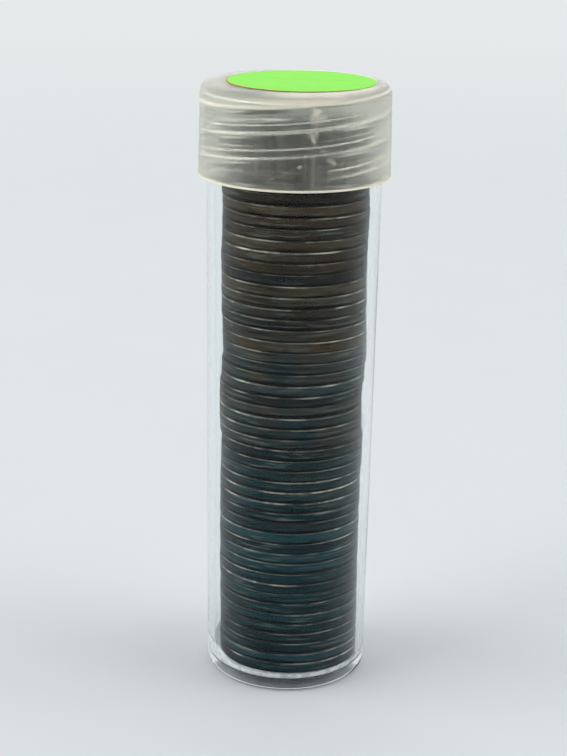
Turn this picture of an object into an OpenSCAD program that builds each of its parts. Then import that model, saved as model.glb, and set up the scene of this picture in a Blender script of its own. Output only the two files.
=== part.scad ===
// Screw-cap tube for a roll of fifty small coins, standing upright on its foot.
// Lengths are in millimetres and angles in degrees. The origin is the centre of the foot, +Z is up
// and the side that faces the viewer is -Y. The tube, its cap, the round sticker on the cap and
// every coin are separate pieces.

/* [Coins] */
// Number of coins in the roll
coin_count = 50; // [12:1:57]
// Diameter of one coin
coin_d = 17.91; // [16:0.01:20]
// Thickness of one coin, measured over its rims
coin_t = 1.375; // [1:0.005:1.8]
// Width of the raised rim round a coin's face
coin_rim_w = 0.9; // [0.5:0.05:1.5]
// Depth of a coin's field below its rim
coin_field_depth = 0.12; // [0.05:0.01:0.25]
// Size of the worn bevel on a coin's edge
coin_bevel = 0.08; // [0.02:0.01:0.2]

/* [Tube] */
// Play between a coin and the bore at the floor, on the radius
coin_play = 0.43; // [0.2:0.01:0.8]
// Thickness of the tube's wall
wall_t = 0.9; // [0.8:0.05:1.6]
// Draft angle of the tube, inside and outside
tube_draft = 0.3; // [0.05:0.05:0.4]
// Height above the table of the floor's raised middle, on which the coins rest
floor_t = 2.08; // [1.8:0.01:3]
// Depth of the groove between that raised middle and the bore
groove_depth = 0.58; // [0.3:0.02:0.7]
// Width of that groove
groove_w = 0.88; // [0.7:0.02:1.2]
// Space between the top coin and the tube's mouth
head_room = 3.65; // [1.5:0.05:8]
// Radius of the tube's rounded foot
foot_round = 0.65; // [0.3:0.05:1]
// Radius of the fillet between the groove and the bore
groove_fillet = 0.3; // [0.1:0.05:0.4]
// Depth of the recess under the floor
recess_depth = 0.95; // [0.3:0.05:1]
// Width of the ring that the tube stands on
foot_ring_w = 1.2; // [0.6:0.1:3]

/* [Neck and thread] */
// Thickness of the neck's wall under the thread
neck_wall_t = 0.5; // [0.4:0.05:0.65]
// Number of thread starts
thread_starts = 2; // [1:1:3]
// Height from one thread ridge to the next
thread_spacing = 2.9; // [2.5:0.1:4]
// Width of a thread ridge at its root
thread_root_w = 1.3; // [1:0.05:1.5]
// Width of a thread ridge at its crest
thread_crest_w = 0.6; // [0.3:0.05:0.8]
// Running gap between the threads of cap and neck, on the radius
thread_gap = 0.16; // [0.1:0.01:0.25]
// Plain length left at each end of a thread
thread_margin = 1; // [0.8:0.1:2]

/* [Cap] */
// Height of the cap
cap_h = 11.1; // [9:0.1:14]
// Thickness of the cap's wall at its rim
cap_wall_t = 0.86; // [0.7:0.01:1.4]
// Thickness of the cap's top
cap_top_t = 1.1; // [0.8:0.1:2]
// Draft angle of the cap's outside
cap_draft = 1; // [0:0.1:1.5]
// Radius of the cap's rounded upper edge
cap_round = 1.3; // [0.6:0.1:1.6]
// Gap between the cap's rim and the tube's shoulder, on the radius
skirt_gap = 0.2; // [0.15:0.01:0.3]
// Height by which the cap's rim reaches below the shoulder
skirt_overlap = 0.5; // [0.2:0.1:1.5]
// Gap between the tube's mouth and the cap's ceiling when the cap is on
seat_gap = 0.15; // [0.05:0.05:0.4]
// Angle at which the first thread of the cap begins
cap_thread_angle = 93; // [0:1:180]

/* [Sticker] */
// Diameter of the round sticker
label_d = 17.9; // [12:0.1:19]
// Thickness of the sticker's paper
label_t = 0.1; // [0.08:0.01:0.2]
// Distance of the sticker's centre from the axis
label_shift = 0.6; // [0:0.1:1]

/* [Hidden] */
// Glue film under the sticker
glue_t = 0.02;
// Film of air under the first coin
stack_gap = 0.01;
// Bevel of the cap's rim
cap_rim_bevel = 0.15;
// Fillet between the cap's ceiling and its wall
cap_fillet = 0.35;
// Rounding of the lip round the tube's mouth
lip_round = 0.2;
// Slope at the shoulder, where the body steps in to the neck
shoulder_slope = 0.25;
// Slope between the foot ring and the recess
recess_slope = 0.3;
// Slope between the groove and the raised middle of the floor
groove_slope = 0.15;
// Radius and height of the moulding mark in the recess
gate_r = 1.1;
gate_h = 0.2;
// Depth by which a thread ridge is rooted in the wall that carries it
thread_root_depth = 0.25;
// Steps in one turn of a thread, and steps over which its ends fade
thread_steps = 40;
fade_steps = 5;
// Step of the arcs in the profiles
arc_step = 15;

// Sideways lean of the stack, as shares of the play: from coin n upwards the coins lean by the share
lean_shares = [
    [1, 0.76], [6, 0.6], [9, 0.42], [13, 0.36], [20, 0.56], [23, 0.3], [24, 0.12],
    [28, 0.5], [30, 0.74], [32, 0.56], [34, 0.38], [37, 0.28], [41, 0.4], [45, 0.2]
];
// Small unevenness of each coin, as shares of the play, across the view and along it
uneven_shares = [0.05, 0.15];

// Coins and the stack
coin_r = coin_d / 2;
stack_z = floor_t + stack_gap;
stack_top_z = stack_z + coin_count * coin_t;

// Tube
mouth_z = stack_top_z + head_room;
bore_foot_r = coin_r + coin_play;
function bore_r(z) = bore_foot_r + (z - floor_t) * tan(tube_draft);
foot_r = bore_foot_r + wall_t;
function body_r(z) = foot_r + z * tan(tube_draft);
foot_ring_r = foot_r - foot_round;
groove_z = floor_t - groove_depth;
groove_in_r = bore_foot_r - groove_w;

// Cap
ceiling_z = mouth_z + seat_gap;
cap_top_z = ceiling_z + cap_top_t;
cap_rim_z = cap_top_z - cap_h;
shoulder_z = cap_rim_z + skirt_overlap;
cap_bore_r = body_r(shoulder_z) + skirt_gap;
cap_r = cap_bore_r + cap_wall_t;
cap_upper_r = cap_r - (cap_h - cap_round) * tan(cap_draft);

// Thread
neck_r = bore_r(mouth_z) + neck_wall_t;
neck_crest_r = cap_bore_r - thread_gap;
cap_crest_r = neck_r + thread_gap;
thread_lead = thread_spacing * thread_starts;
neck_thread_z = shoulder_z + thread_margin;
neck_thread_top_z = mouth_z - thread_margin;
cap_thread_z = cap_rim_z + thread_margin + thread_crest_w;
cap_thread_top_z = ceiling_z - thread_crest_w;
// The ridges of the neck lie half a spacing below those of the cap
neck_thread_angle = cap_thread_angle
    - 360 * (cap_thread_z - neck_thread_z - thread_spacing / 2) / thread_lead;

function coin_name(n) = str("coin_", n < 10 ? "0" : "", n);

// Arc of a profile about [r, z], from angle a to angle b
function arc(r, z, radius, a, b) = [
    for (i = [0:abs(b - a) / arc_step])
        let (angle = a + sign(b - a) * i * arc_step)
        [r + radius * cos(angle), z + radius * sin(angle)]
];

// Ridge that climbs round the axis, out of a wall of radius root_r, and fades at both ends
module thread_ridge(root_r, crest_r, z, top_z, angle) {
    corners = 4;
    side = sign(crest_r - root_r);
    depth = abs(crest_r - root_r);
    steps = ceil((top_z - z) / thread_lead * thread_steps);
    climb = thread_lead / thread_steps;
    points = [
        for (i = [0:steps])
            let (
                fade = min(1, (i + 1) / fade_steps, (steps - i + 1) / fade_steps),
                a = angle + i * 360 / thread_steps,
                inner = root_r - side * thread_root_depth,
                outer = root_r + side * depth * fade,
                mid_z = z + i * climb
            )
            each [
                [inner * cos(a), inner * sin(a), mid_z - thread_root_w / 2],
                [outer * cos(a), outer * sin(a), mid_z - thread_crest_w / 2],
                [outer * cos(a), outer * sin(a), mid_z + thread_crest_w / 2],
                [inner * cos(a), inner * sin(a), mid_z + thread_root_w / 2]
            ]
    ];
    strips = [
        for (i = [0:steps - 1])
            for (k = [0:corners - 1])
                let (
                    low = corners * i + k,
                    next = corners * i + (k + 1) % corners
                )
                each side < 0
                    ? [[low, low + corners, next], [next, low + corners, next + corners]]
                    : [[low, next, low + corners], [next, next + corners, low + corners]]
    ];
    last = corners * steps;
    ends = side < 0
        ? [[0, 1, 2], [0, 2, 3], [last, last + 2, last + 1], [last, last + 3, last + 2]]
        : [[0, 2, 1], [0, 3, 2], [last, last + 1, last + 2], [last, last + 2, last + 3]];
    polyhedron(points = points, faces = concat(strips, ends), convexity = 6);
}

module tube_shell() {
    lip_out = neck_r - lip_round;
    lip_in = bore_r(mouth_z) + lip_round;
    fillet_z = groove_z + groove_fillet;
    rotate_extrude()
        polygon(concat(
            [[0, floor_t], [0, recess_depth - gate_h], [gate_r, recess_depth - gate_h]],
            [[gate_r, recess_depth], [foot_ring_r - foot_ring_w - recess_slope, recess_depth]],
            [[foot_ring_r - foot_ring_w, 0]],
            arc(foot_ring_r, foot_round, foot_round, -90, 0),
            [[body_r(shoulder_z), shoulder_z - shoulder_slope], [neck_r, shoulder_z]],
            arc(lip_out, mouth_z - lip_round, lip_round, 0, 90),
            arc(lip_in, mouth_z - lip_round, lip_round, 90, 180),
            arc(bore_r(fillet_z) - groove_fillet, fillet_z, groove_fillet, 0, -90),
            [[groove_in_r + groove_slope, groove_z], [groove_in_r, floor_t]]
        ));
}

module tube() {
    color("aliceblue", 0.4)
        union() {
            tube_shell();
            for (start = [0:thread_starts - 1])
                thread_ridge(neck_r, neck_crest_r, neck_thread_z, neck_thread_top_z,
                    neck_thread_angle + start * 360 / thread_starts);
        }
}

module cap_shell() {
    rotate_extrude()
        polygon(concat(
            [[0, ceiling_z]],
            arc(cap_bore_r - cap_fillet, ceiling_z - cap_fillet, cap_fillet, 90, 0),
            [[cap_bore_r, cap_rim_z + cap_rim_bevel], [cap_bore_r + cap_rim_bevel, cap_rim_z]],
            [[cap_r - cap_rim_bevel, cap_rim_z], [cap_r, cap_rim_z + cap_rim_bevel]],
            arc(cap_upper_r - cap_round, cap_top_z - cap_round, cap_round, 0, 90),
            [[0, cap_top_z]]
        ));
}

module cap() {
    color("gainsboro", 0.7)
        union() {
            cap_shell();
            for (start = [0:thread_starts - 1])
                thread_ridge(cap_bore_r, cap_crest_r, cap_thread_z, cap_thread_top_z,
                    cap_thread_angle + start * 360 / thread_starts);
        }
}

module label() {
    color("palegreen")
        translate([label_shift, 0, cap_top_z + glue_t])
            cylinder(h = label_t, d = label_d);
}

// Lean of coin n: the share beside the last start that isn't above n
function lean_share(n) = let (passed = [for (s = lean_shares) if (s[0] <= n) s[1]])
    passed[len(passed) - 1];

// One coin: bevelled edge, raised rims and a sunk field on both faces
module coin(n) {
    z = stack_z + (n - 1) * coin_t;
    play = bore_r(z) - coin_r;
    x = play * (lean_share(n) + uneven_shares[0] * sin(n * 137));
    y = play * uneven_shares[1] * cos(n * 97);
    rim_r = coin_r - coin_rim_w;
    warmth = n / coin_count;
    color([0.25 + 0.1 * warmth, 0.31, 0.34 - 0.05 * warmth])
        translate([x, y, z])
            rotate_extrude()
                polygon([
                    [0, coin_field_depth],
                    [rim_r - coin_field_depth, coin_field_depth],
                    [rim_r, 0],
                    [coin_r - coin_bevel, 0],
                    [coin_r, coin_bevel],
                    [coin_r, coin_t - coin_bevel],
                    [coin_r - coin_bevel, coin_t],
                    [rim_r, coin_t],
                    [rim_r - coin_field_depth, coin_t - coin_field_depth],
                    [0, coin_t - coin_field_depth]
                ]);
}

tube();
cap();
label();
for (n = [1:coin_count])
    coin(n);
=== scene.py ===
import math
import random

import bmesh
import bpy
from mathutils import Matrix, Vector, noise


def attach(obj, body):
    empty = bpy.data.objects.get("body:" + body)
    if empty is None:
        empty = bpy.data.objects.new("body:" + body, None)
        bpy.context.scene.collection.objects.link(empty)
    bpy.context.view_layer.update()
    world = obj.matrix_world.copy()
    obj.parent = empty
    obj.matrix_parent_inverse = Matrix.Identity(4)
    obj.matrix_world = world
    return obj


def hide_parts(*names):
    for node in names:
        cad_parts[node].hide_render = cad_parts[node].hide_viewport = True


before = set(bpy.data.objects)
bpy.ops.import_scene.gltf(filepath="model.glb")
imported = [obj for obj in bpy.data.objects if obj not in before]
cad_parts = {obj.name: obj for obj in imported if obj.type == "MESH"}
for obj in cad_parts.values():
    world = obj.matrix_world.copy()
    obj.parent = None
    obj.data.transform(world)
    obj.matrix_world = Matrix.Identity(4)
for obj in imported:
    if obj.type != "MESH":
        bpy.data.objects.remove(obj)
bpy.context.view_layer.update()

mm = 0.001
touch = 1e-4  # millimetres: points that are nearer than this are one, or in line


def addNode(tree, kind, feeds=None, **settings):
    node = tree.nodes.new(kind)
    for key, value in settings.items():
        setattr(node, key, value)
    for key, value in (feeds or {}).items():
        if isinstance(value, bpy.types.NodeSocket):
            tree.links.new(value, node.inputs[key])
        else:
            node.inputs[key].default_value = value
    return node


def calc(tree, operation, *values, clamp=False):
    return addNode(tree, "ShaderNodeMath", dict(enumerate(values)),
                   operation=operation, use_clamp=clamp).outputs[0]


def product(tree, *values):
    total = values[0]
    for value in values[1:]:
        total = calc(tree, "MULTIPLY", total, value)
    return total


def distance(tree, x, y):
    squares = [calc(tree, "POWER", value, 2) for value in (x, y)]
    return calc(tree, "SQRT", calc(tree, "ADD", *squares))


def axes(tree, vector):  # the X, Y and Z of a vector
    return addNode(tree, "ShaderNodeSeparateXYZ", {0: vector}).outputs


def ramp(tree, value, low, high, outLow=0.0, outHigh=1.0):
    feeds = {"Value": value, "From Min": low, "From Max": high,
             "To Min": outLow, "To Max": outHigh}
    return addNode(tree, "ShaderNodeMapRange", feeds, interpolation_type="SMOOTHSTEP").outputs[0]


def mixColour(tree, share, first, second):
    return addNode(tree, "ShaderNodeMix", {0: share, 6: first, 7: second},
                   data_type="RGBA").outputs[2]


def rgb(red, green, blue):  # display colour from 0 to 255, as the shader's linear one
    def linear(c):
        c /= 255
        return c / 12.92 if c <= 0.04045 else ((c + 0.055) / 1.055) ** 2.4
    return (linear(red), linear(green), linear(blue), 1.0)


def newMaterial(name):
    material = bpy.data.materials.new(name)
    material.use_nodes = True
    tree = material.node_tree
    tree.nodes.clear()
    output = addNode(tree, "ShaderNodeOutputMaterial")
    return material, tree, output.inputs["Surface"]


def objectSpace(tree, scale=(1, 1, 1)):
    coords = addNode(tree, "ShaderNodeTexCoord").outputs["Object"]
    return addNode(tree, "ShaderNodeMapping", {"Vector": coords, "Scale": scale}).outputs[0]


def grain(tree, scale, detail, roughness, stretch=(1, 1, 1)):
    feeds = {"Vector": objectSpace(tree, stretch), "Scale": scale, "Detail": detail,
             "Roughness": roughness}
    return addNode(tree, "ShaderNodeTexNoise", feeds).outputs[0]


def bump(tree, height, strength, depth, normal=None):  # depth in millimetres
    feeds = {"Height": height, "Strength": strength, "Distance": depth * mm}
    if normal is not None:
        feeds["Normal"] = normal
    return addNode(tree, "ShaderNodeBump", feeds).outputs[0]


def attribute(tree, name):
    return addNode(tree, "ShaderNodeAttribute", attribute_name=name).outputs["Fac"]


def letLightThrough(tree, shader, colour):  # so that see-through plastic casts a light shadow
    window = addNode(tree, "ShaderNodeBsdfTransparent", {"Color": colour})
    shadow = addNode(tree, "ShaderNodeLightPath").outputs["Is Shadow Ray"]
    return addNode(tree, "ShaderNodeMixShader",
                   {0: shadow, 1: shader.outputs[0], 2: window.outputs[0]}).outputs[0]


def finishMesh(mesh, sharpAngle=40):
    shell = bmesh.new()
    shell.from_mesh(mesh)
    bmesh.ops.remove_doubles(shell, verts=shell.verts, dist=touch * mm)
    bmesh.ops.recalc_face_normals(shell, faces=shell.faces)
    shell.to_mesh(mesh)
    shell.free()
    smoothMesh(mesh, sharpAngle)


def smoothMesh(mesh, sharpAngle):
    mesh.shade_smooth()
    mesh.set_sharp_from_angle(angle=math.radians(sharpAngle))


def newPiece(name, mesh):
    piece = bpy.data.objects.new(name, mesh)
    bpy.context.scene.collection.objects.link(piece)
    return piece


def nodeTree(name, inputs):
    tree = bpy.data.node_groups.new(name, "GeometryNodeTree")
    tree.interface.new_socket("Geometry", in_out="INPUT", socket_type="NodeSocketGeometry")
    for key, kind in inputs:
        tree.interface.new_socket(key, in_out="INPUT", socket_type="NodeSocket" + kind)
    tree.interface.new_socket("Geometry", in_out="OUTPUT", socket_type="NodeSocketGeometry")
    return tree, addNode(tree, "NodeGroupInput").outputs


def position(tree):
    return axes(tree, addNode(tree, "GeometryNodeInputPosition").outputs[0])


def readValue(tree, name):
    return addNode(tree, "GeometryNodeInputNamedAttribute", {"Name": name},
                   data_type="FLOAT").outputs["Attribute"]


def storeValue(tree, geometry, name, value, domain="POINT"):
    return addNode(tree, "GeometryNodeStoreNamedAttribute",
                   {"Geometry": geometry, "Name": name, "Value": value},
                   data_type="FLOAT", domain=domain).outputs[0]


def moveBy(tree, geometry, **offset):
    way = addNode(tree, "ShaderNodeCombineXYZ", offset).outputs[0]
    return addNode(tree, "GeometryNodeSetPosition",
                   {"Geometry": geometry, "Offset": way}).outputs[0]


def closeTree(tree, geometry, material):
    real = addNode(tree, "GeometryNodeRealizeInstances", {0: geometry}).outputs[0]
    painted = addNode(tree, "GeometryNodeSetMaterial", {"Geometry": real, "Material": material})
    addNode(tree, "NodeGroupOutput", {0: painted.outputs[0]})


def runTree(piece, tree, values):  # and keeps what the nodes made as a plain mesh
    modifier = piece.modifiers.new(tree.name, "NODES")
    modifier.node_group = tree
    for item in tree.interface.items_tree:
        if item.in_out == "INPUT" and item.name in values:
            modifier[item.identifier] = values[item.name]
    depsgraph = bpy.context.evaluated_depsgraph_get()
    mesh = bpy.data.meshes.new_from_object(
        piece.evaluated_get(depsgraph), preserve_all_data_layers=True, depsgraph=depsgraph)
    piece.modifiers.clear()
    piece.data = mesh


def spread(start, end, step):  # points along a straight stretch of a profile, its end left out
    length = math.dist(start, end)
    count = max(1, math.ceil(length / step))
    return [tuple(a + (b - a) * i / count for a, b in zip(start, end)) for i in range(count)]


def bend(r, z, radius, a, b, count=6):  # arc of a profile, in degrees
    turns = [math.radians(a + (b - a) * i / count) for i in range(count + 1)]
    return [(r + radius * math.cos(t), z + radius * math.sin(t)) for t in turns]


def degreesOff(a, middle):  # how far the angle a, in radians, is from the middle, in degrees
    return (math.degrees(a) - middle + 180) % 360 - 180


def lathe(name, profile, columns, wobble=None, **marks):
    # profile is a line of (radius, height) in millimetres that starts and ends on the axis,
    # and each mark is a list with one value for each of its points
    mesh = bpy.data.meshes.new(name)
    points, rings = [], []
    values = {key: [] for key in marks}
    for row, (r, z) in enumerate(profile):
        count = 1 if r < touch else columns
        rings.append(list(range(len(points), len(points) + count)))
        for i in range(count):
            a = 2 * math.pi * i / columns
            shift = wobble(r, z, a) if wobble and count > 1 else 0
            points.append(((r + shift) * math.cos(a) * mm, (r + shift) * math.sin(a) * mm, z * mm))
        for key, mark in marks.items():
            values[key] += [float(mark[row])] * count
    faces = []
    for low, high in zip(rings, rings[1:]):
        for i in range(columns):
            k = (i + 1) % columns
            if len(low) == 1:
                faces.append((low[0], high[i], high[k]))
            elif len(high) == 1:
                faces.append((low[i], low[k], high[0]))
            else:
                faces.append((low[i], low[k], high[k], high[i]))
    mesh.from_pydata(points, [], faces)
    for key in marks:
        mesh.attributes.new(key, "FLOAT", "POINT").data.foreach_set("value", values[key])
    return mesh


# the two-start thread of the neck and the cap; lengths in millimetres
threadSettings = {
    "lead": 5.8, "spacing": 2.9, "rootWidth": 1.3, "crestWidth": 0.6, "fadeHeight": 0.72,
    "lineSpread": 0.55, "upperFlank": 0.12,  # how wide the pale lines are, and how faint the upper
}


def threadTree():  # ridges that climb round a wall
    s = threadSettings
    sizes = ["Depth", "Lead", "Spacing", "Root Width", "Crest Width", "Start Height", "End Height",
             "Start Angle", "Fade Height"]
    inputs = [(key, "Float") for key in sizes] + [("Material", "Material")]
    tree, given = nodeTree("screwThread", inputs)
    place = position(tree)
    angle = calc(tree, "ARCTAN2", place["Y"], place["X"])
    turns = calc(tree, "DIVIDE", calc(tree, "SUBTRACT", angle, given["Start Angle"]), 2 * math.pi)
    above = calc(tree, "SUBTRACT", place["Z"], given["Start Height"])
    above = calc(tree, "SUBTRACT", above, product(tree, given["Lead"], turns))
    ridge = calc(tree, "ROUND", calc(tree, "DIVIDE", above, given["Spacing"]))
    off = calc(tree, "SUBTRACT", above, product(tree, given["Spacing"], ridge))
    shape = ramp(tree, calc(tree, "ABSOLUTE", off),
                 product(tree, given["Root Width"], 0.5), product(tree, given["Crest Width"], 0.5))
    height = calc(tree, "SUBTRACT", place["Z"], off)
    fade = given["Fade Height"]
    begun = ramp(tree, calc(tree, "SUBTRACT", height, given["Start Height"]), 0, fade)
    ended = ramp(tree, calc(tree, "SUBTRACT", given["End Height"], height), 0, fade)
    present = product(tree, readValue(tree, "threadWall"), begun, ended)
    push = product(tree, shape, present, given["Depth"])
    moved = moveBy(tree, given["Geometry"], X=product(tree, push, calc(tree, "COSINE", angle)),
                   Y=product(tree, push, calc(tree, "SINE", angle)))
    # two values for the material: slope is on both flanks of a ridge, and flank mostly on the lower
    # one, where the cap is paler, partly milkier plastic and partly a painted highlight
    slope = product(tree, shape, calc(tree, "SUBTRACT", 1, shape), 4)
    slope = product(tree, calc(tree, "POWER", slope, s["lineSpread"]), present)
    flank = product(tree, slope, ramp(tree, off, -0.05 * mm, 0.05 * mm, 1, s["upperFlank"]))
    marked = storeValue(tree, storeValue(tree, moved, "flank", flank), "slope", slope)
    closeTree(tree, marked, given["Material"])
    return tree


def cutThread(piece, depth, start, end, angle, material):
    s = threadSettings
    runTree(piece, threadTree(), {
        "Depth": depth * mm, "Lead": s["lead"] * mm, "Spacing": s["spacing"] * mm,
        "Root Width": s["rootWidth"] * mm, "Crest Width": s["crestWidth"] * mm,
        "Fade Height": s["fadeHeight"] * mm, "Start Height": start * mm, "End Height": end * mm,
        "Start Angle": math.radians(angle), "Material": material})
    finishMesh(piece.data)


tubeSettings = {
    # sizes in millimetres, and the thread's angle in degrees
    "boreFootR": 9.385, "wall": 0.9, "draft": math.tan(math.radians(0.3)), "floorTop": 2.08,
    "grooveFloor": 1.5, "grooveInnerR": 8.505, "grooveSlope": 0.15, "grooveFillet": 0.3,
    "mouth": 74.49, "shoulder": 65.14, "shoulderSlope": 0.25, "neckWall": 0.5, "lipRound": 0.2,
    "footRound": 0.65, "footRing": 1.2, "recess": 0.95, "recessSlope": 0.3, "gateR": 1.1,
    "gateH": 0.2, "threadCrestR": 10.666, "threadAngle": 176.79, "threadInset": 1,
    "waviness": 0.012, "waveScale": (1.6, 0.05), "waveFrom": 3, "waveTo": 63.14, "boreWaves": 5,
    "columns": 256, "wallStep": 1.3, "cornerStep": 0.1, "gateSlope": 0.06,
    # where the groove is whitened, partly scuffed by the coins and partly a painted highlight ring,
    # and, on one side, the wall above it, as a painted glint
    "scuffGlintFrom": 1.4, "scuffGlintTo": 2.2, "glintTop": 3.9, "glintFade": 2.1,
    "glintSideFrom": -5.5, "glintSideTo": -8.6,
    # looks; the foot bends much of the light away from what is under it
    "refraction": 1.52, "tint": (0.95, 0.975, 0.975, 1), "white": (0.97, 0.98, 0.98, 1),
    "glare": (0.15, 0.15, 0.15, 1), "haze": 0.035, "floorHaze": 0.3, "dust": 0.12, "scuff": 0.85,
    "shade": (0.78, 0.81, 0.81, 1), "footShade": (0.42, 0.46, 0.47, 1),
    "footShadeFrom": 1.2, "footShadeTo": 4,
    # noises: scale, detail, roughness and stretch; bumps: strength, and depth in millimetres
    "smears": (260, 4, 0.6, (1, 1, 0.25)), "specks": (5200, 2, 0.5), "rubs": (900, 3, 0.6),
    "scratches": (1400, 2, 0.4, (1, 1, 0.04)), "scratchBump": (0.02, 0.02),
}


def boreR(z):
    return tubeSettings["boreFootR"] + (z - tubeSettings["floorTop"]) * tubeSettings["draft"]


def bodyR(z):
    return tubeSettings["boreFootR"] + tubeSettings["wall"] + z * tubeSettings["draft"]


def wallWave(r, z, a):  # a moulded wall is never quite even
    s = tubeSettings
    if not s["waveFrom"] <= z <= s["waveTo"]:
        return 0
    own = 0 if r > boreR(z) + touch else s["boreWaves"]  # the bore has waves of its own
    around, along = s["waveScale"]
    place = Vector((math.cos(a) * around + own, math.sin(a) * around, z * along))
    return s["waviness"] * noise.noise(place)


def footOutline():  # from the axis, under the floor and round the foot
    s = tubeSettings
    ringR = bodyR(0) - s["footRound"]
    ringInner = ringR - s["footRing"]
    slopeR = ringInner - s["recessSlope"]
    recess, gate = s["recess"], s["recess"] - s["gateH"]
    gateR, gateSlope, step = s["gateR"], s["gateSlope"], s["cornerStep"]
    line = spread((0, gate), (gateR - gateSlope, gate), 0.4)
    line += spread((gateR - gateSlope, gate), (gateR + gateSlope, recess), gateSlope)
    line += spread((gateR + gateSlope, recess), (slopeR - 0.1, recess), 0.7)
    line += spread((slopeR - 0.02, recess - 0.03), (ringInner - 0.02, 0.04), step)
    line += spread((ringInner + 0.05, 0), (ringR, 0), 0.3)
    return line + bend(ringR, s["footRound"], s["footRound"], -90, 0, 10)


def boreOutline():  # from the lip down the bore, through the groove and over the floor to the axis
    s = tubeSettings
    lip, fillet = s["mouth"] - s["lipRound"], s["grooveFillet"]
    bottom, inner, step = s["grooveFloor"], s["grooveInnerR"], s["cornerStep"]
    slopeR, filletZ = inner + s["grooveSlope"], bottom + fillet
    finer = filletZ + 0.6
    line = spread((boreR(lip - 0.4), lip - 0.4), (boreR(finer), finer), s["wallStep"])
    line += spread((boreR(finer), finer), (boreR(filletZ), filletZ), step)
    line += bend(boreR(filletZ) - fillet, filletZ, fillet, 0, -90, 8)
    line += spread((boreR(filletZ) - fillet - 0.1, bottom), (slopeR + 0.06, bottom), step)
    line += spread((slopeR, bottom + 0.02), (inner + 0.02, s["floorTop"] - 0.06), step)
    line += spread((inner - 0.04, s["floorTop"]), (0, s["floorTop"]), 0.6)
    return line + [(0, s["floorTop"])]


def scuffAndGlintShare(r, z):  # whole in the groove, and less and less up the wall above it
    s = tubeSettings
    if s["grooveInnerR"] < r < boreR(z) + touch and s["scuffGlintFrom"] < z < s["scuffGlintTo"]:
        return 1
    if s["scuffGlintTo"] <= z < s["glintTop"] and abs(r - boreR(z)) < touch:
        return (s["glintTop"] - z) / s["glintFade"]
    return 0


def makeTube(material):
    s = tubeSettings
    neckR = boreR(s["mouth"]) + s["neckWall"]
    top, lip = s["shoulder"] - s["shoulderSlope"], s["lipRound"]
    lipZ = s["mouth"] - lip
    step = s["cornerStep"]
    outline = footOutline()
    outline += spread((bodyR(1), 1), (bodyR(top), top), s["wallStep"])
    outline += spread((bodyR(top), top), (neckR, s["shoulder"]), step)
    outline += spread((neckR, s["shoulder"]), (neckR, lipZ), step)
    outline += bend(neckR - lip, lipZ, lip, 0, 90, 5)
    outline += bend(boreR(s["mouth"]) + lip, lipZ, lip, 90, 180, 5)
    outline += boreOutline()
    mesh = lathe(
        "tubeMoulding", outline, s["columns"], wallWave,
        threadWall=[abs(r - neckR) < touch and s["shoulder"] < z < lipZ for r, z in outline],
        scuffed=[scuffAndGlintShare(r, z) for r, z in outline],
        worn=[r <= s["grooveInnerR"] and abs(z - s["floorTop"]) < touch for r, z in outline])
    piece = newPiece("clearTube", mesh)
    cutThread(piece, s["threadCrestR"] - neckR, s["shoulder"] + s["threadInset"],
              s["mouth"] - s["threadInset"], s["threadAngle"], material)
    return piece


def clearPlastic():
    s = tubeSettings
    material, tree, surface = newMaterial("clearPolystyrene")
    place = axes(tree, objectSpace(tree))
    dust = ramp(tree, grain(tree, *s["specks"]), 0.66, 0.78)
    rough = ramp(tree, grain(tree, *s["smears"]), 0.45, 0.8, 0, s["haze"])
    rough = calc(tree, "ADD", rough, product(tree, dust, s["dust"]))
    rough = calc(tree, "MAXIMUM", rough, product(tree, attribute(tree, "worn"), s["floorHaze"]))
    rubs = ramp(tree, grain(tree, *s["rubs"]), 0.3, 0.6, 0.5, 1)
    # painted glint: on the left side the wall above the groove is whitened too
    side = ramp(tree, place["X"], s["glintSideFrom"] * mm, s["glintSideTo"] * mm, 0, 0.75)
    reached = ramp(tree, calc(tree, "ADD", attribute(tree, "scuffed"), side), 0.8, 1.05)
    reached = product(tree, reached, ramp(tree, attribute(tree, "scuffed"), 0, 0.1))
    # the whitening is partly scuffing and partly a painted highlight
    scuffsAndGlint = product(tree, reached, rubs, s["scuff"])
    scratches = bump(tree, grain(tree, *s["scratches"]), *s["scratchBump"])
    plastic = addNode(tree, "ShaderNodeBsdfPrincipled", {
        "Base Color": mixColour(tree, scuffsAndGlint, s["tint"], s["white"]), "Roughness": rough,
        "IOR": s["refraction"], "Transmission Weight": calc(tree, "SUBTRACT", 1, scuffsAndGlint),
        "Specular Tint": s["glare"], "Normal": scratches})
    low = ramp(tree, place["Z"], s["footShadeFrom"] * mm, s["footShadeTo"] * mm)
    passed = mixColour(tree, low, s["footShade"], s["shade"])
    tree.links.new(letLightThrough(tree, plastic, passed), surface)
    return material


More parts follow.
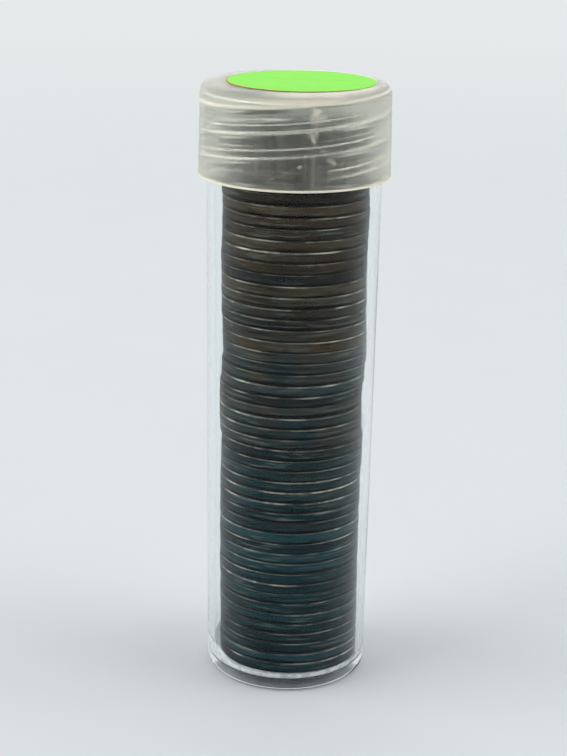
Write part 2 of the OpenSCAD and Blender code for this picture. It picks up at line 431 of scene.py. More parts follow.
capSettings = {
    # sizes in millimetres, and angles in degrees
    "ceiling": 74.64, "top": 75.74, "rim": 64.64, "boreR": 10.826, "wall": 0.86,
    "draft": math.tan(math.radians(1)), "round": 1.3, "rimBevel": 0.15, "fillet": 0.35,
    "threadCrestR": 10.424, "threadAngle": 93, "threadFrom": 1.6, "threadTo": 0.6,
    "seamAngle": -79, "seamRise": 0.05, "seamWidth": 0.8, "seamEnd": 0.4, "columns": 320,
    # looks
    "refraction": 1.49, "body": rgb(253, 253, 245), "pale": rgb(255, 248, 228),
    "glare": (0.35, 0.35, 0.35, 1), "shade": (0.8, 0.82, 0.8, 1), "rough": (0.31, 0.4),
    "sheen": 0.5, "sheenRough": 0.35, "milk": 0.02, "streakMilk": 0.12, "dragMilk": 0.06,
    # noises: scale, detail, roughness and stretch; bumps: strength, and depth in millimetres
    "streaks": (420, 4, 0.6, (1, 1, 6)), "drag": (1900, 3, 0.6, (1, 1, 0.06)),
    "scuffsAndGlint": (900, 5, 0.65, (1, 1, 0.3)), "arcs": (230, 3, 0.5, (0.5, 1.6, 3)),
    "ragged": (2600, 4, 0.7), "wander": (700, 3, 0.6), "streakBump": (0.02, 0.08),
    # the ridges are palest at the sides, as painted light, and a little painted shade keeps them
    # from glittering in front
    "ridges": 0.85, "frontRidges": 0.42, "paintedShade": (0.05, 0.05, 0.048, 1), "sideShade": 0.1,
    # a painted highlight line just above the rim
    "paintedRimHighlight": 1.0, "rimLineFrom": 64.88, "rimLineTo": 64.72,
    # the thick shoulder is whiter in front, partly milkier plastic and partly a painted highlight,
    # down to a bright painted highlight line that rises to the right
    "shoulder": 0.95, "shoulderZ": 74.45, "shoulderRise": 0.07, "sideShoulder": (0.12, 0.3),
    # white stress marks beside the seam: degrees from it, then height, half width and half
    # height in millimetres, and strength
    "seamMark": 0.15, "seamHaze": 0.07,
    "stressMarks": [
        (0.9, 73.8, 0.5, 0.5, 1.0), (2.8, 73.15, 1.05, 0.8, 0.42), (-0.8, 73.1, 0.5, 0.95, 0.3),
        (-0.9, 71.2, 0.55, 0.75, 0.3), (1.1, 71.3, 0.3, 0.6, 0.35), (-0.3, 70.6, 0.3, 0.45, 0.5),
        (5.5, 69.4, 0.6, 0.28, 0.25), (12.2, 67.9, 0.32, 0.28, 0.45),
        (9.8, 68.25, 0.5, 0.2, 0.22), (-8.3, 67.6, 0.3, 0.22, 0.28), (4.0, 67.6, 0.3, 0.22, 0.12),
    ],
}


def capSeam(r, z, a):  # the fine line that the mould's halves leave on the outside
    s = capSettings
    lowest, highest = s["rim"] + s["rimBevel"], s["top"] - s["seamEnd"]
    if r < s["boreR"] + s["rimBevel"] * 2 or not lowest <= z <= highest:
        return 0
    rise = 0
    for middle in (s["seamAngle"], s["seamAngle"] + 180):
        rise += s["seamRise"] * math.exp(-(degreesOff(a, middle) / s["seamWidth"]) ** 2)
    return rise - s["seamRise"]


def makeCap(material):
    s = capSettings
    outerR, boreR = s["boreR"] + s["wall"], s["boreR"]
    shoulderZ = s["top"] - s["round"]
    upperR = outerR - (shoulderZ - s["rim"]) * s["draft"]
    bevel, fillet = s["rimBevel"], s["fillet"]
    rimZ, filletZ = s["rim"] + bevel, s["ceiling"] - fillet
    outline = spread((0, s["ceiling"]), (boreR - fillet - 0.1, s["ceiling"]), 0.6)
    outline += bend(boreR - fillet, filletZ, fillet, 90, 0, 6)
    outline += spread((boreR, filletZ - 0.06), (boreR, rimZ), 0.1)
    outline += bend(boreR + bevel, rimZ, bevel, 180, 270, 4)
    outline += bend(outerR - bevel, rimZ, bevel, 270, 360, 4)
    outline += spread((outerR - 0.02 * s["draft"], rimZ + 0.2), (upperR, shoulderZ), 0.35)
    outline += bend(upperR - s["round"], shoulderZ, s["round"], 0, 90, 12)
    outline += spread((upperR - s["round"] - 0.3, s["top"]), (0, s["top"]), 0.6)
    outline.append((0, s["top"]))
    wall = [abs(r - boreR) < touch and rimZ < z < filletZ for r, z in outline]
    mesh = lathe("capMoulding", outline, s["columns"], capSeam, threadWall=wall)
    piece = newPiece("screwCap", mesh)
    cutThread(piece, s["threadCrestR"] - boreR, s["rim"] + s["threadFrom"],
              s["ceiling"] - s["threadTo"], s["threadAngle"], material)
    return piece


def markStress(tree, place):
    s = capSettings
    radius = s["boreR"] + s["wall"]
    turn = calc(tree, "ARCTAN2", place["Y"], place["X"])
    across = product(tree, calc(tree, "SUBTRACT", turn, math.radians(s["seamAngle"])), radius)
    height = calc(tree, "DIVIDE", place["Z"], mm)
    ragged = calc(tree, "SUBTRACT", grain(tree, *s["ragged"]), 0.5)
    wander = calc(tree, "SUBTRACT", grain(tree, *s["wander"]), 0.5)
    seam = calc(tree, "ABSOLUTE", calc(tree, "ADD", across, product(tree, wander, 0.25)))
    broken = ramp(tree, ragged, -0.15, 0.15, 0.3, 1)
    spots = product(tree, ramp(tree, seam, 0.17, 0.05, 0, s["seamMark"]), broken)
    spots = calc(tree, "MAXIMUM", spots, ramp(tree, seam, 0.55, 0.2, 0, s["seamHaze"]))
    for degrees, middle, halfWidth, halfHeight, strength in s["stressMarks"]:
        dx = calc(tree, "SUBTRACT", across, math.radians(degrees) * radius)
        dx = calc(tree, "ADD", calc(tree, "DIVIDE", dx, halfWidth), product(tree, wander, 2.2))
        dz = calc(tree, "DIVIDE", calc(tree, "SUBTRACT", height, middle), halfHeight)
        far = calc(tree, "ADD", distance(tree, dx, dz), product(tree, ragged, 3.2))
        spots = calc(tree, "MAXIMUM", spots, ramp(tree, far, 1.35, 0.05, 0, strength))
    return spots


def shoulderMilkAndHighlight(tree, place, streaks):
    s = capSettings
    outward = distance(tree, place["X"], place["Y"])
    above = calc(tree, "SUBTRACT", place["Z"], product(tree, place["X"], s["shoulderRise"]))
    above = calc(tree, "SUBTRACT", above, s["shoulderZ"] * mm)
    left, right = s["sideShoulder"]
    # paler in front and less at the left and right ends, partly as a painted highlight
    band = product(tree, ramp(tree, outward, 11.3 * mm, 10.1 * mm, 0.6, 1),
                   ramp(tree, above, -0.12 * mm, 0.12 * mm, 0, s["shoulder"]),
                   ramp(tree, grain(tree, *s["arcs"]), 0.34, 0.58, 0.75, 1),
                   ramp(tree, place["X"], -7 * mm, 2 * mm, left, 1),
                   ramp(tree, place["X"], 8 * mm, 10.5 * mm, 1, right))
    line = product(tree, ramp(tree, calc(tree, "ABSOLUTE", above), 0.26 * mm, 0.06 * mm),
                   ramp(tree, streaks, 0.3, 0.55, 0.6, 1))
    outside = ramp(tree, outward, 8.8 * mm, 9.6 * mm)  # and not under the sticker
    return product(tree, calc(tree, "MAXIMUM", band, line), outside)


def milkyPlastic():
    s = capSettings
    material, tree, surface = newMaterial("milkyPolypropylene")
    place = axes(tree, objectSpace(tree))
    streaks = grain(tree, *s["streaks"])
    aside = calc(tree, "ABSOLUTE", place["X"])
    sides = ramp(tree, aside, 3.5 * mm, 9.5 * mm, s["frontRidges"], 1)
    # painted shade on the ridge slopes, strongest in front, so that they don't glitter
    front = ramp(tree, aside, 3.5 * mm, 9.5 * mm, 1, s["sideShade"])
    body = mixColour(tree, product(tree, attribute(tree, "slope"), front), s["body"], s["paintedShade"])
    # pale thread lines: partly milkier plastic, partly a painted highlight, paler towards the sides
    # as painted light
    pale = product(tree, attribute(tree, "flank"), s["ridges"], sides)
    # painted highlight: a pale line just above the rim
    paintedRimHighlight = ramp(tree, place["Z"], s["rimLineFrom"] * mm, s["rimLineTo"] * mm, 0, s["paintedRimHighlight"])
    pale = calc(tree, "MAXIMUM", pale, paintedRimHighlight)
    pale = calc(tree, "MAXIMUM", pale, shoulderMilkAndHighlight(tree, place, streaks))
    pale = calc(tree, "MAXIMUM", pale, markStress(tree, place), clamp=True)
    drag = ramp(tree, grain(tree, *s["drag"]), 0.4, 0.7)
    milk = calc(tree, "ADD", product(tree, streaks, s["streakMilk"]),
                product(tree, drag, s["dragMilk"]))
    milk = calc(tree, "ADD", milk, s["milk"] - s["streakMilk"] * 0.5)
    milk = calc(tree, "MAXIMUM", milk, pale, clamp=True)
    plastic = addNode(tree, "ShaderNodeBsdfPrincipled", {
        "Base Color": mixColour(tree, pale, body, s["pale"]),
        "Roughness": ramp(tree, grain(tree, *s["scuffsAndGlint"]), 0.3, 0.8, *s["rough"]),
        "IOR": s["refraction"],
        "Transmission Weight": calc(tree, "SUBTRACT", 1, milk, clamp=True),
        "Normal": bump(tree, streaks, *s["streakBump"]), "Sheen Weight": s["sheen"],
        "Sheen Roughness": s["sheenRough"], "Sheen Tint": s["body"], "Specular Tint": s["glare"]})
    tree.links.new(letLightThrough(tree, plastic, s["shade"]), surface)
    return material


stickerSettings = {
    # sizes in millimetres, and the nick's angle and width in degrees
    "r": 8.95, "shift": 0.6, "base": 75.76, "top": 75.86, "columns": 160, "rings": 22,
    "ringSpread": 0.7, "wave": 0.018, "waveScale": 0.35, "waveSeed": 3, "waveShift": 0.6,
    "glueDip": 0.015, "curl": 0.012,
    "nickAngle": -97, "nickWidth": 2.2, "nickDepth": 0.28, "nickRings": 4,
    # looks
    "ink": (0.255, 0.83, 0.07, 1), "faded": (0.30, 0.84, 0.11, 1), "darkening": rgb(190, 120, 60),
    "edgeBrownFrom": 8.72, "edgeBrownTo": 8.93, "gloss": 0.25, "rough": (0.5, 0.68),
    # noises: scale, detail, roughness and stretch; bumps: strength, and depth in millimetres
    "blotches": (420, 4, 0.6), "fibres": (3600, 4, 0.6, (1, 0.35, 1)), "fibreBump": (0.12, 0.03),
}


def stickerPoint(side, ring, column):  # side 0 is the glued face, and side 1 the printed one
    s = stickerSettings
    a = 2 * math.pi * column / s["columns"]
    r = s["r"] * (ring / s["rings"]) ** s["ringSpread"]
    inside = s["rings"] - s["nickRings"]
    if ring > inside:
        notch = max(0, 1 - abs(degreesOff(a, s["nickAngle"])) / s["nickWidth"])
        r -= s["nickDepth"] * notch * (ring - inside) / s["nickRings"]
    x, y = r * math.cos(a), r * math.sin(a)
    where = Vector((x * s["waveScale"], y * s["waveScale"], s["waveSeed"]))
    wave = s["wave"] * (noise.noise(where) - s["waveShift"])
    if side == 0:
        z = s["base"] + max(-s["glueDip"], wave * 0.5)
    else:
        z = s["top"] + min(0, wave) - (s["curl"] if ring == s["rings"] else 0)
    return Vector((x + s["shift"], y, z)) * mm


def makeSticker(material):
    s = stickerSettings
    columns = range(s["columns"])
    shell = bmesh.new()
    edges = []
    for side, height in enumerate((s["base"], s["top"])):
        centre = shell.verts.new((s["shift"] * mm, 0, height * mm))
        rows = [[shell.verts.new(stickerPoint(side, ring, i)) for i in columns]
                for ring in range(1, s["rings"] + 1)]
        edges.append(rows[-1])
        for i in columns:
            k = (i + 1) % s["columns"]
            shell.faces.new((centre, rows[0][i], rows[0][k]))
            for low, high in zip(rows, rows[1:]):
                shell.faces.new((low[i], low[k], high[k], high[i]))
    lower, upper = edges
    for i in columns:
        k = (i + 1) % s["columns"]
        shell.faces.new((lower[i], lower[k], upper[k], upper[i]))
    mesh = bpy.data.meshes.new("stickerPaper")
    shell.to_mesh(mesh)
    shell.free()
    mesh.materials.append(material)
    finishMesh(mesh)
    return newPiece("roundSticker", mesh)


def stickerPaper():
    s = stickerSettings
    material, tree, surface = newMaterial("fluorescentPaper")
    centred = addNode(tree, "ShaderNodeVectorMath", {
        0: objectSpace(tree), 1: (s["shift"] * mm, 0, 0)}, operation="SUBTRACT").outputs[0]
    place = axes(tree, centred)
    # the edge turns orange-brown towards the lower left
    edge = ramp(tree, distance(tree, place["X"], place["Y"]), s["edgeBrownFrom"] * mm, s["edgeBrownTo"] * mm)
    lowerLeft = ramp(tree, calc(tree, "ADD", place["X"], place["Y"]), 2 * mm, -7 * mm)
    blotch = grain(tree, *s["blotches"])
    colour = mixColour(tree, ramp(tree, blotch, 0.35, 0.7), s["ink"], s["faded"])
    browned = product(tree, edge, lowerLeft, ramp(tree, blotch, 0.3, 0.55, 0.5, 1))
    colour = mixColour(tree, browned, colour, s["darkening"])
    fibres = grain(tree, *s["fibres"])
    paper = addNode(tree, "ShaderNodeBsdfPrincipled", {
        "Base Color": colour, "Roughness": ramp(tree, fibres, 0.2, 0.8, *s["rough"]),
        "Normal": bump(tree, fibres, *s["fibreBump"]), "Specular IOR Level": s["gloss"]})
    tree.links.new(paper.outputs[0], surface)
    return material


coinSettings = {
    # sizes in millimetres
    "count": 50, "r": 8.955, "t": 1.375, "air": 0.012, "rim": 0.9, "rimSlope": 0.12, "sunk": 0.12,
    "floor": 2.09, "reeds": 118, "faceStep": 0.075,
    # which way the stack leans: from this coin up, this share of the play to the right
    "leans": [(1, 0.76), (6, 0.6), (9, 0.42), (13, 0.36), (20, 0.56), (23, 0.3), (24, 0.12),
              (28, 0.5), (30, 0.74), (32, 0.56), (34, 0.38), (37, 0.28), (41, 0.4), (45, 0.2)],
    "uneven": (0.05, 0.15), "unevenTurns": (137, 97), "tilt": math.radians(0.12),
    # rounding of the edge, depth of the reeds, seed of the dents
    "kinds": {"plainCoin": (0.17, 0.030, 1), "wornCoin": (0.23, 0.014, 2),
              "sharpCoin": (0.13, 0.038, 3)},
    "dentReach": 0.6, "outOfRound": 0.01, "nicks": 5, "nickDepth": 0.07, "nickHeight": 0.5,
    "face": {"Beads": 72.0, "Bead Circle": 7.55, "Leaves": 24.0, "Wreath Circle": 5.7,
             "Petals": 8.0, "Petal Length": 3.3, "Relief": 0.09 * mm, "Tone": 0.993},
    # what repeats on a face has a half width, half length and lean; the rest, where it rises
    "bead": (0.24, 0.24), "outerLeaf": (0.48, 0.75, 0.4), "innerLeaf": (0.40, 0.75, -0.4),
    "leafShift": 0.62, "stem": (0.16, 0.05), "petalEdge": 0.7, "button": (0.95, 0.55),
    # looks; the tarnish is brown near the cap, and the metal is blue-green near the foot, partly
    # tarnish and partly a painted reflection
    "warm": rgb(76, 62, 43), "warmDark": rgb(29, 24, 18), "coolTarnishAndReflection": rgb(18, 66, 74),
    "coolDarkTarnishAndReflection": rgb(5, 38, 45), "coolBelow": 18, "warmAbove": 62, "toneShift": 14,
    "patchShift": 60, "bright": rgb(205, 199, 182), "sootAndShade": rgb(3, 4, 5),
    "dust": rgb(104, 110, 104),
    "metallic": 0.7, "edgeTint": (0.4, 0.4, 0.4, 1), "rough": (0.36, 0.52),
    # noises: scale, detail, roughness and stretch; bumps: strength, and depth in millimetres
    "patches": (160, 4, 0.6), "streaks": (190, 4, 0.62, (1, 1, 11)),
    "shortRub": (420, 4, 0.7, (1, 1, 2)), "longRub": (120, 2, 0.5), "pits": (1700, 2, 0.5),
    "lines": (500, 3, 0.5, (1, 1, 9)), "pitBump": (0.06, -0.02), "lineBump": (0.06, 0.03),
}


def coinSeat(n):  # where coin n lies, as in the solids
    s = coinSettings
    z = s["floor"] + (n - 1) * s["t"]
    play = boreR(z) - s["r"]
    share = [lean for start, lean in s["leans"] if start <= n][-1]
    turnX, turnY = [math.radians(n * turn) for turn in s["unevenTurns"]]
    x = play * (share + s["uneven"][0] * math.sin(turnX))
    y = play * s["uneven"][1] * math.cos(turnY)
    return Vector((x, y, z)) * mm


def blankRows(edge, relief):
    # a blank's profile: radius, height, painted shade, wear with painted highlight, and the way
    # that the face's relief stands
    s = coinSettings
    t, r, inner, sunk = s["t"] - s["air"], s["r"], s["r"] - s["rim"], s["sunk"]
    rim = inner - s["rimSlope"]
    step = {side: s["faceStep"] if side == relief else inner for side in ("low", "high")}
    # the painted shade on each face: full where it touches the next coin, less on a face with
    # relief
    darkening = {side: 0.3 if side == relief else 1 for side in ("low", "high")}
    face = {side: 1 if side == relief else 0 for side in ("low", "high")}
    rows = [(x, z, darkening["low"], 0, -face["low"])
            for x, z in spread((0, sunk), (rim, sunk), step["low"])]
    rows += [(rim, sunk, darkening["low"], 0, 0), (inner, 0, darkening["low"], face["low"] * 0.6, 0)]
    rows += [(x, z, 1, 0, 0) for x, z in bend(r - edge, edge, edge, -90, 0, 3)]
    rows += [(r, z, paintedShade, 0, 0)
             for z, paintedShade in ((edge + 0.04, 0.75), (edge + 0.26, 0), (t - edge - 0.02, 0))]
    # the upper edge's rounding is lighter, partly rubbed metal and partly a painted highlight; the
    # lower edge is not
    upperEdge = ((0, 0, 0.3), (20, 0, 1), (42, 0, 1), (60, 0.8, 0.1), (90, darkening["high"], 0))
    for turn, paintedShade, wearAndHighlight in upperEdge:
        a = math.radians(turn)
        rows.append((r - edge + edge * math.cos(a), t - edge + edge * math.sin(a), paintedShade, wearAndHighlight, 0))
    rows += [(inner, t, darkening["high"], face["high"] * 0.6, 0)]
    rows += [(x, z, darkening["high"], 0, face["high"])
             for x, z in spread((rim, t - sunk), (0, t - sunk), step["high"])]
    return rows + [(0, t - sunk, darkening["high"], 0, face["high"])]


def makeBlank(name, kind, relief=None):
    # relief is the side, low or high, that has a finely divided face
    s = coinSettings
    edge, reedDepth, seed = s["kinds"][kind]
    rows = blankRows(edge, relief)
    random.seed(seed)
    heights = (0, s["t"] - s["air"])
    nicks = [(random.uniform(0, 360), random.choice(heights), random.uniform(1, 2.5))
             for _ in range(s["nicks"])]

    def dents(radius, z, a):
        reach = edge * s["dentReach"]
        side = (radius - s["r"] + reach) / reach
        if side <= 0:
            return 0
        rub = 0.7 + 0.5 * noise.noise(Vector((math.cos(a) * 3, math.sin(a) * 3, seed * 5)))
        depth = -reedDepth * side * rub * (0.5 - 0.5 * math.cos(s["reeds"] * a))
        bent = noise.noise(Vector((math.cos(a) * 2, math.sin(a) * 2, seed)))
        depth += s["outOfRound"] * (bent - 0.5)
        for where, height, width in nicks:
            near = math.exp(-(degreesOff(a, where) / width) ** 2)
            depth -= s["nickDepth"] * near * max(0, 1 - abs(z - height) / s["nickHeight"])
        return min(0, depth)

    marks = {key: [row[k] for row in rows] for k, key in enumerate(("paintedShade", "rimWear", "face"), 2)}
    mesh = lathe(name, [row[:2] for row in rows], s["reeds"] * 2, dents, **marks)
    finishMesh(mesh, 50)
    return newPiece(name, mesh)


def faceTree():  # a beaded border, a wreath of leaves and a rosette
    s = coinSettings
    inputs = [(key, "Float") for key in s["face"]] + [("Material", "Material")]
    tree, given = nodeTree("coinFace", inputs)
    place = position(tree)
    turn = calc(tree, "ARCTAN2", place["Y"], place["X"])
    far = distance(tree, *[calc(tree, "DIVIDE", place[axis], mm) for axis in ("X", "Y")])

    def motif(count, circle, halfWidth, halfLength, lean=0.0):  # one of many round a circle
        outward = calc(tree, "SUBTRACT", far, circle)
        phase = product(tree, calc(tree, "DIVIDE", turn, 2 * math.pi), count)
        phase = calc(tree, "ADD", phase, product(tree, outward, lean))
        along = calc(tree, "SUBTRACT", phase, calc(tree, "ROUND", phase))
        along = calc(tree, "DIVIDE", product(tree, along, far, 2 * math.pi), count)
        reach = distance(tree, calc(tree, "DIVIDE", along, halfWidth),
                         calc(tree, "DIVIDE", outward, halfLength))
        return ramp(tree, reach, 1, 0.3)

    beads = motif(given["Beads"], given["Bead Circle"], *s["bead"])
    circle = given["Wreath Circle"]
    outside = calc(tree, "ADD", circle, s["leafShift"])
    inside = calc(tree, "SUBTRACT", circle, s["leafShift"])
    outer = motif(given["Leaves"], outside, *s["outerLeaf"])
    inner = motif(given["Leaves"], inside, *s["innerLeaf"])
    stem = calc(tree, "ABSOLUTE", calc(tree, "SUBTRACT", far, circle))
    stem = ramp(tree, stem, *s["stem"], 0, 0.8)
    wave = calc(tree, "COSINE", product(tree, turn, given["Petals"]))
    reach = product(tree, given["Petal Length"], calc(tree, "ADD", product(tree, wave, 0.3), 0.7))
    petals = ramp(tree, calc(tree, "SUBTRACT", reach, far), 0, s["petalEdge"], 0, 0.75)
    relief = ramp(tree, far, *s["button"])
    for shape in (petals, stem, inner, outer, beads):
        relief = calc(tree, "MAXIMUM", relief, shape)
    face = readValue(tree, "face")
    moved = moveBy(tree, given["Geometry"], Z=product(tree, relief, face, given["Relief"]))
    rubbed = product(tree, relief, calc(tree, "ABSOLUTE", face), 0.8)
    wearAndHighlight = calc(tree, "MAXIMUM", readValue(tree, "rimWear"), rubbed)
    worn = storeValue(tree, moved, "rimWear", wearAndHighlight)
    closeTree(tree, storeValue(tree, worn, "tone", given["Tone"]), given["Material"])
    return tree


def stackTree():  # a blank of a random kind, turned and tilted at random, on every seat
    kinds = coinSettings["kinds"]
    inputs = [(key, "Object") for key in kinds]
    inputs += [("Seed", "Int"), ("Tilt", "Float"), ("Material", "Material")]
    tree, given = nodeTree("coinStack", inputs)
    blanks = tree.nodes.new("GeometryNodeGeometryToInstance")
    for key in kinds:
        info = addNode(tree, "GeometryNodeObjectInfo", {"Object": given[key]})
        tree.links.new(info.outputs["Geometry"], blanks.inputs[0])
    pick = addNode(tree, "FunctionNodeRandomValue", {
        "Min": 0, "Max": len(kinds) - 1, "Seed": given["Seed"]}, data_type="INT")
    tilt, back = given["Tilt"], product(tree, given["Tilt"], -1)
    low = addNode(tree, "ShaderNodeCombineXYZ", {0: back, 1: back, 2: 0.0})
    high = addNode(tree, "ShaderNodeCombineXYZ", {0: tilt, 1: tilt, 2: 2 * math.pi})
    turned = addNode(tree, "FunctionNodeRandomValue", {
        "Min": low.outputs[0], "Max": high.outputs[0],
        "Seed": calc(tree, "ADD", given["Seed"], 1)}, data_type="FLOAT_VECTOR")
    placed = addNode(tree, "GeometryNodeInstanceOnPoints", {
        "Points": given["Geometry"], "Instance": blanks.outputs[0], "Pick Instance": True,
        "Instance Index": pick.outputs[2], "Rotation": turned.outputs[0]})
    tone = addNode(tree, "FunctionNodeRandomValue", {"Seed": calc(tree, "ADD", given["Seed"], 2)},
                   data_type="FLOAT")
    toned = storeValue(tree, placed.outputs[0], "tone", tone.outputs[1], "INSTANCE")
    closeTree(tree, toned, given["Material"])
    return tree


def makeStacks(material):
    blanks = {kind: makeBlank(kind, kind) for kind in coinSettings["kinds"]}
    tree = stackTree()
    pieces = {}
    for name, first, last, seed in (("lowerCoins", 2, 25, 7), ("upperCoins", 26, 49, 19)):
        seats = bpy.data.meshes.new(name + "Seats")
        seats.from_pydata([coinSeat(n) for n in range(first, last + 1)], [], [])
        stack = newPiece(name, seats)
        runTree(stack, tree, {
            **blanks, "Seed": seed, "Tilt": coinSettings["tilt"], "Material": material})
        smoothMesh(stack.data, 50)
        pieces[stack] = range(first, last + 1)
    for blank in blanks.values():
        bpy.data.objects.remove(blank)
    return pieces


def makeEndCoins(material):  # the two coins whose faces can be seen
    tree = faceTree()
    pieces = {}
    for name, number, kind, relief in (("bottomCoin", 1, "plainCoin", "low"),
                                       ("topCoin", coinSettings["count"], "wornCoin", "high")):
        coin = makeBlank(name, kind, relief)
        runTree(coin, tree, {**coinSettings["face"], "Material": material})
        coin.data.transform(Matrix.Translation(coinSeat(number)) @ Matrix.Rotation(number, 4, "Z"))
        smoothMesh(coin.data, 50)
        pieces[coin] = [number]
    return pieces


def coinMetal():
    s = coinSettings
    material, tree, surface = newMaterial("tarnishedSilver")
    tone = attribute(tree, "tone")
    second = calc(tree, "FRACT", product(tree, tone, 7.3))  # more random values of each coin
    third = calc(tree, "FRACT", product(tree, tone, 13.7))
    patches = grain(tree, *s["patches"])
    level = axes(tree, objectSpace(tree))["Z"]
    for value, shift in ((tone, s["toneShift"]), (patches, s["patchShift"])):
        shifted = product(tree, calc(tree, "SUBTRACT", value, 0.5), shift * mm)
        level = calc(tree, "ADD", level, shifted)
    warmth = ramp(tree, level, s["coolBelow"] * mm, s["warmAbove"] * mm, 0.05, 1)
    share = calc(tree, "ADD", product(tree, second, 0.9), product(tree, patches, 0.7))
    share = calc(tree, "SUBTRACT", share, 0.35, clamp=True)
    colour = mixColour(tree, warmth, mixColour(tree, share, s["coolDarkTarnishAndReflection"], s["coolTarnishAndReflection"]),
                       mixColour(tree, share, s["warmDark"], s["warm"]))
    streaks = grain(tree, *s["streaks"])
    colour = mixColour(tree, ramp(tree, streaks, 0.52, 0.74, 0, 0.7), colour, s["dust"])
    colour = mixColour(tree, ramp(tree, streaks, 0.48, 0.32, 0, 0.7), colour, s["sootAndShade"])
    # the upper rim is lighter in places, partly rubbed metal and partly a painted highlight, and
    # some coins are more worn than others
    shortRub = ramp(tree, grain(tree, *s["shortRub"]), 0.4, 0.62, 0.15, 1)
    longRub = ramp(tree, grain(tree, *s["longRub"]), 0.42, 0.6, 0.1, 1)
    shine = product(tree, attribute(tree, "rimWear"), shortRub, longRub,
                    ramp(tree, third, 0.1, 0.9, 0.35, 1))
    colour = mixColour(tree, shine, colour, s["bright"])
    # painted shade fills the gaps between the coins, and reaches further where they are less worn
    reach = calc(tree, "ADD", product(tree, third, 0.7), product(tree, longRub, 0.45))
    reach = calc(tree, "SUBTRACT", attribute(tree, "paintedShade"), reach)
    colour = mixColour(tree, ramp(tree, reach, -0.25, 0.25, 0, 0.97), colour, s["sootAndShade"])
    pits = ramp(tree, grain(tree, *s["pits"]), 0.66, 0.76)
    colour = mixColour(tree, product(tree, pits, 0.4), colour, s["sootAndShade"])
    lined = bump(tree, grain(tree, *s["lines"]), *s["lineBump"])
    normal = bump(tree, pits, *s["pitBump"], lined)
    metal = addNode(tree, "ShaderNodeBsdfPrincipled", {
        "Base Color": colour, "Metallic": s["metallic"], "Specular Tint": s["edgeTint"],
        "Roughness": ramp(tree, patches, 0.3, 0.7, *s["rough"]), "Normal": normal})
    tree.links.new(metal.outputs[0], surface)
    return material


stageSettings = {
    "pale": (0.80, 0.82, 0.83, 1), "radius": 3, "fadeFrom": 0.22, "fadeTo": 0.75,
    "floor": (0.70, 0.735, 0.745, 1), "floorPatches": (0.72, 0.755, 0.765, 1),
    "floorGrain": (40, 2, 0.5), "floorZ": -0.02 * mm,  # just clear of the foot
    "sky": (0.93, 0.96, 1, 1), "skyLight": 0.42, "frontLight": 0.08, "front": (0, -0.94, 0.34),
    "lamps": [  # place and size in metres, power in watts
        ((0.15, 0.40, 1.45), (2.2, 1.8), 12.5),
        ((-1.15, -0.20, 0.80), (1.2, 1.4), 10.5),
        ((1.20, -0.10, 0.80), (0.9, 1.4), 6.3),
    ],
    "aim": (0, 0, 0.04),
    "lens": 77.86, "yaw": -0.0045, "pitch": 0.3188, "roll": 0.018,
    "cameraPlace": (0, -0.1953525, 0.1030972),
}


def seenRays(tree):  # rays that show the background: straight, mirrored or through clear plastic
    path = addNode(tree, "ShaderNodeLightPath").outputs
    mirrored = calc(tree, "MAXIMUM", path["Is Glossy Ray"], path["Is Transmission Ray"])
    return calc(tree, "MAXIMUM", path["Is Camera Ray"], mirrored)


def makeFloor():
    s = stageSettings
    material, tree, surface = newMaterial("paleFloor")
    colour = mixColour(tree, grain(tree, *s["floorGrain"]), s["floor"], s["floorPatches"])
    matt = addNode(tree, "ShaderNodeBsdfPrincipled", {
        "Base Color": colour, "Roughness": 0.6, "Specular IOR Level": 0.2})
    far = addNode(tree, "ShaderNodeVectorMath", {0: objectSpace(tree)},
                  operation="LENGTH").outputs["Value"]
    away = product(tree, ramp(tree, far, s["fadeFrom"], s["fadeTo"]), seenRays(tree))
    glow = addNode(tree, "ShaderNodeEmission", {"Color": s["pale"], "Strength": 1.0})
    mixed = addNode(tree, "ShaderNodeMixShader", {0: away, 1: matt.outputs[0], 2: glow.outputs[0]})
    tree.links.new(mixed.outputs[0], surface)
    mesh = bpy.data.meshes.new("floor")
    shell = bmesh.new()
    bmesh.ops.create_circle(shell, cap_ends=True, segments=96, radius=s["radius"])
    bmesh.ops.translate(shell, verts=shell.verts, vec=(0, 0, s["floorZ"]))
    shell.to_mesh(mesh)
    shell.free()
    mesh.materials.append(material)
    newPiece("floor", mesh)


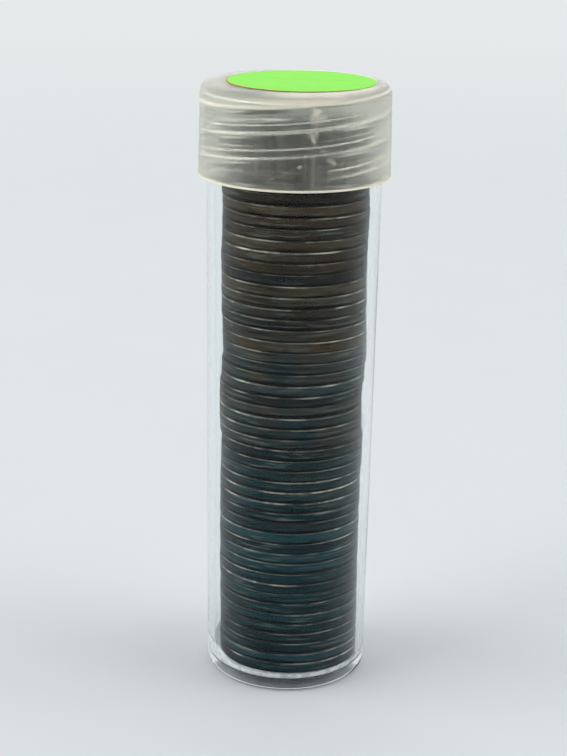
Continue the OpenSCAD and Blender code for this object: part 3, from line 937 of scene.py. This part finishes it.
def makeLight():
    s = stageSettings
    world = bpy.data.worlds.new("studio")
    bpy.context.scene.world = world
    world.use_nodes = True
    tree = world.node_tree
    tree.nodes.clear()
    way = addNode(tree, "ShaderNodeTexCoord").outputs["Generated"]
    ahead = addNode(tree, "ShaderNodeVectorMath", {0: way, 1: s["front"]}, operation="DOT_PRODUCT")
    strength = ramp(tree, ahead.outputs["Value"], 0.45, 0.9, s["skyLight"], s["frontLight"])
    dim = addNode(tree, "ShaderNodeBackground", {"Color": s["sky"], "Strength": strength})
    pale = addNode(tree, "ShaderNodeBackground", {"Color": s["pale"], "Strength": 1.0})
    mixed = addNode(tree, "ShaderNodeMixShader",
                    {0: seenRays(tree), 1: dim.outputs[0], 2: pale.outputs[0]})
    addNode(tree, "ShaderNodeOutputWorld", {"Surface": mixed.outputs[0]})
    for place, (width, height), watts in s["lamps"]:
        data = bpy.data.lights.new("softbox", "AREA")
        data.shape = "RECTANGLE"
        data.size, data.size_y, data.energy = width, height, watts
        lamp = bpy.data.objects.new("softbox", data)
        lamp.location = place
        way = Vector(s["aim"]) - Vector(place)
        lamp.rotation_euler = way.to_track_quat("-Z", "Y").to_euler()
        bpy.context.scene.collection.objects.link(lamp)


def makeCamera():
    s = stageSettings
    yaw, pitch, roll = s["yaw"], s["pitch"], s["roll"]
    data = bpy.data.cameras.new("camera")
    data.sensor_width, data.lens, data.clip_start = 36, s["lens"], 0.01
    camera = bpy.data.objects.new("camera", data)
    ahead = Vector((math.sin(yaw) * math.cos(pitch), math.cos(yaw) * math.cos(pitch),
                    -math.sin(pitch)))
    level = Vector((math.cos(yaw), -math.sin(yaw), 0))
    upright = level.cross(ahead)
    right = level * math.cos(roll) + upright * math.sin(roll)
    up = upright * math.cos(roll) - level * math.sin(roll)
    turn = Matrix((right, up, -ahead)).transposed().to_4x4()
    camera.matrix_world = Matrix.Translation(s["cameraPlace"]) @ turn
    bpy.context.scene.collection.objects.link(camera)
    bpy.context.scene.camera = camera


plastic = clearPlastic()
tube = makeTube(plastic)
print("tube", len(tube.data.polygons))
cap = makeCap(milkyPlastic())
print("cap", len(cap.data.polygons))
sticker = makeSticker(stickerPaper())
print("sticker", len(sticker.data.polygons))
silver = coinMetal()
coins = {**makeEndCoins(silver), **makeStacks(silver)}
print("coins", sum(len(coin.data.polygons) for coin in coins))

for piece, node, body, slot in ((tube, "tube", "tube", "clear_plastic"),
                                (cap, "cap", "cap", "milky_plastic"),
                                (sticker, "label", "cap", "paper")):
    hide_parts(node)
    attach(piece, body)
for coin, numbers in coins.items():
    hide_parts(*[f"coin_{n:02d}" for n in numbers])
    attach(coin, "coins")

makeFloor()
makeLight()
makeCamera()
bpy.context.scene.view_settings.view_transform = "Standard"
print("floor, light and camera")
